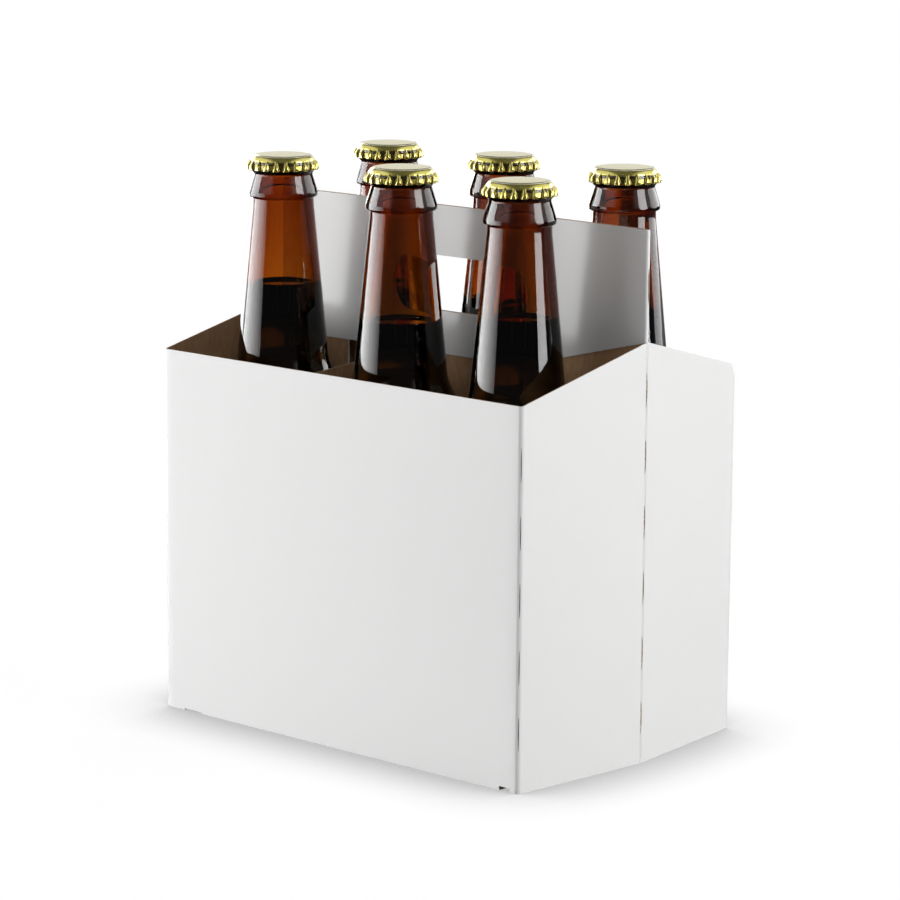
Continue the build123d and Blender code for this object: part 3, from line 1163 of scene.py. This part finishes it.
def nearFloor(tree):
    # takes shadows, and darkens where the carrier is close above it: a painted contact shadow, its glow
    # dimmed by ambient occlusion
    touch = tree.nodes.new("ShaderNodeAmbientOcclusion")
    touch.inputs["Distance"].default_value = floorLook["shadeReach"]
    touch.samples = 8
    shade = rangeOf(tree, touch.outputs["AO"], floorLook["shade"], floorLook["glow"], *floorLook["touch"])
    near = tree.nodes.new("ShaderNodeAddShader")
    tree.links.new(mattOf(tree, floorLook["shadowed"]), near.inputs[0])
    tree.links.new(lit(tree, "Emission", shade), near.inputs[1])
    return near.outputs[0]


def farFloor(tree, place):
    # white, but the glass sees it dimmed towards the right, a painted shade standing in for the shade
    # behind the bottles on that side
    az = studio["azimuth"]
    sideways = shareTowards(tree, place, (math.cos(az), math.sin(az), 0.0))
    start, end, darkest = floorLook["dimBehind"]
    dim = rangeOf(tree, sideways, studio["behindGlass"], darkest, start, end, eased=True)
    return lit(tree, "Emission", rangeOf(tree, onRays(tree, "Is Transmission Ray"), 1.0, dim))


def buildFloor():
    half = floorLook["half"]
    corners = [(-half, -half, 0), (half, -half, 0), (half, half, 0), (-half, half, 0)]
    mesh = bpy.data.meshes.new("floor")
    mesh.from_pydata(corners, [], [(0, 1, 2, 3)])
    floor = meshObject("floor", mesh)
    finish, tree, shader = newFinish("pale_floor")
    tree.nodes.remove(shader)
    place = tree.nodes.new("ShaderNodeTexCoord").outputs["Object"]
    away = tree.nodes.new("ShaderNodeVectorMath")
    away.operation = "LENGTH"
    tree.links.new(place, away.inputs[0])
    fade = rangeOf(tree, away.outputs["Value"], 0.0, 1.0, *floorLook["fade"], eased=True)
    seen = mixOf(tree, fade, nearFloor(tree), farFloor(tree, place))
    direct = onRays(tree, "Is Camera Ray", "Is Glossy Ray", "Is Transmission Ray")
    whole = mixOf(tree, direct, mattOf(tree, floorLook["matt"]), seen)
    tree.links.new(whole, tree.nodes["Material Output"].inputs["Surface"])
    mesh.materials.append(finish)
    floor.visible_glossy = False  # the gloss sees the lamps' lower halves instead


def backdrop(tree, strongest, sides=False):
    # a pale wall low behind the carrier, with a dim room elsewhere;
    # sides adds pale screens to its left and right, above the horizon
    place = tree.nodes.new("ShaderNodeTexCoord").outputs["Generated"]
    az = studio["azimuth"]
    up = shareTowards(tree, place, (0.0, 0.0, 1.0))

    def eased(value, limits):
        return rangeOf(tree, value, 0.0, 1.0, *studio[limits], eased=True)

    wall = eased(shareTowards(tree, place, (-math.sin(az), math.cos(az), 0.0)), "wallEdge")
    for limits in ("wallTop", "wallFoot"):
        wall = mathOf(tree, "MULTIPLY", wall, eased(up, limits))
    if sides:
        across = mathOf(tree, "ABSOLUTE", shareTowards(tree, place, (math.cos(az), math.sin(az), 0.0)))
        screen = mathOf(tree, "MULTIPLY", eased(across, "sideEdge"), eased(up, "sideFoot"))
        wall = mathOf(tree, "MAXIMUM", wall, mathOf(tree, "MULTIPLY", screen, studio["sideGain"]))
    return lit(tree, "Background", rangeOf(tree, wall, studio["roomGlow"], strongest))


def buildWorld():
    world = bpy.data.worlds.new("studio")
    bpy.context.scene.world = world
    world.use_nodes = True
    tree = world.node_tree
    tree.nodes.clear()
    output = tree.nodes.new("ShaderNodeOutputWorld")
    seen = lit(tree, "Background", studio["worldFill"])
    kinds = {
        "Is Glossy Ray": backdrop(tree, studio["wallGlow"], sides=True),
        "Is Transmission Ray": backdrop(tree, studio["behindGlass"]),
        "Is Camera Ray": lit(tree, "Background", 1.0),
    }
    for kind, light in kinds.items():
        seen = mixOf(tree, onRays(tree, kind), seen, light)
    tree.links.new(seen, output.inputs["Surface"])


# angles are in degrees; glow is the brightness of the box's face, and fade says where along the
# face it starts to dim and where it would be dark; some light only gloss or only matt surfaces
softboxes = {
    "left": {
        "azimuth": -50, "elevation": -3, "far": 2.2, "size": (2.85, 1.57), "glow": 7.4, "fade": (0.3, 1.25),
    },
    "left_rim": {
        "azimuth": -108, "elevation": 4, "far": 1.25, "size": (0.9, 0.85), "glow": 4.5, "only": "gloss",
    },
    "right": {
        "azimuth": 106, "elevation": 13, "far": 1.25, "size": (0.6, 0.75), "glow": 8.2,
    },
    "right_rim": {
        "azimuth": 165, "elevation": 10, "far": 1.25, "size": (1.3, 0.6), "glow": 2.4, "only": "gloss",
    },
    "front": {
        "azimuth": 41, "elevation": 40, "far": 1.4, "size": (0.5, 0.25), "glow": 4.5, "only": "matt",
    },
    "rear": {
        "azimuth": 200, "elevation": 35, "far": 1.4, "size": (0.8, 0.8), "glow": 3.2, "only": "matt",
    },
}


def dimAlong(data, start, end):
    # dims a lamp's face smoothly between two places along it
    data.use_nodes = True
    tree = data.node_tree
    shine = next(node for node in tree.nodes if node.type == "EMISSION")
    surface = tree.nodes.new("ShaderNodeNewGeometry")
    apart = tree.nodes.new("ShaderNodeSeparateXYZ")
    tree.links.new(surface.outputs["Parametric"], apart.inputs[0])
    fall = rangeOf(tree, apart.outputs["X"], 1.0, 0.0, start, end, eased=True)
    tree.links.new(fall, shine.inputs["Strength"])


def buildLights():
    middle = Vector((0, 0, studio["lampAim"]))
    for name, box in softboxes.items():
        data = bpy.data.lights.new(name, "AREA")
        data.shape = "RECTANGLE"
        data.size, data.size_y = box["size"]
        data.energy = box["glow"] * math.pi * data.size * data.size_y
        if "fade" in box:
            dimAlong(data, *box["fade"])
        lamp = bpy.data.objects.new(name, data)
        lamp.visible_transmission = False
        lamp.visible_diffuse = box.get("only") != "gloss"
        lamp.visible_glossy = box.get("only") != "matt"
        direction = directionOf(math.radians(box["azimuth"]), math.radians(box["elevation"]))
        lamp.location = middle + direction * box["far"]
        lamp.rotation_euler = direction.to_track_quat("Z", "Y").to_euler()
        bpy.context.scene.collection.objects.link(lamp)


buildCarrier()
buildBottles()
buildCamera()
buildFloor()
buildWorld()
buildLights()
bpy.context.scene.view_settings.view_transform = "Standard"
print("studio ready")
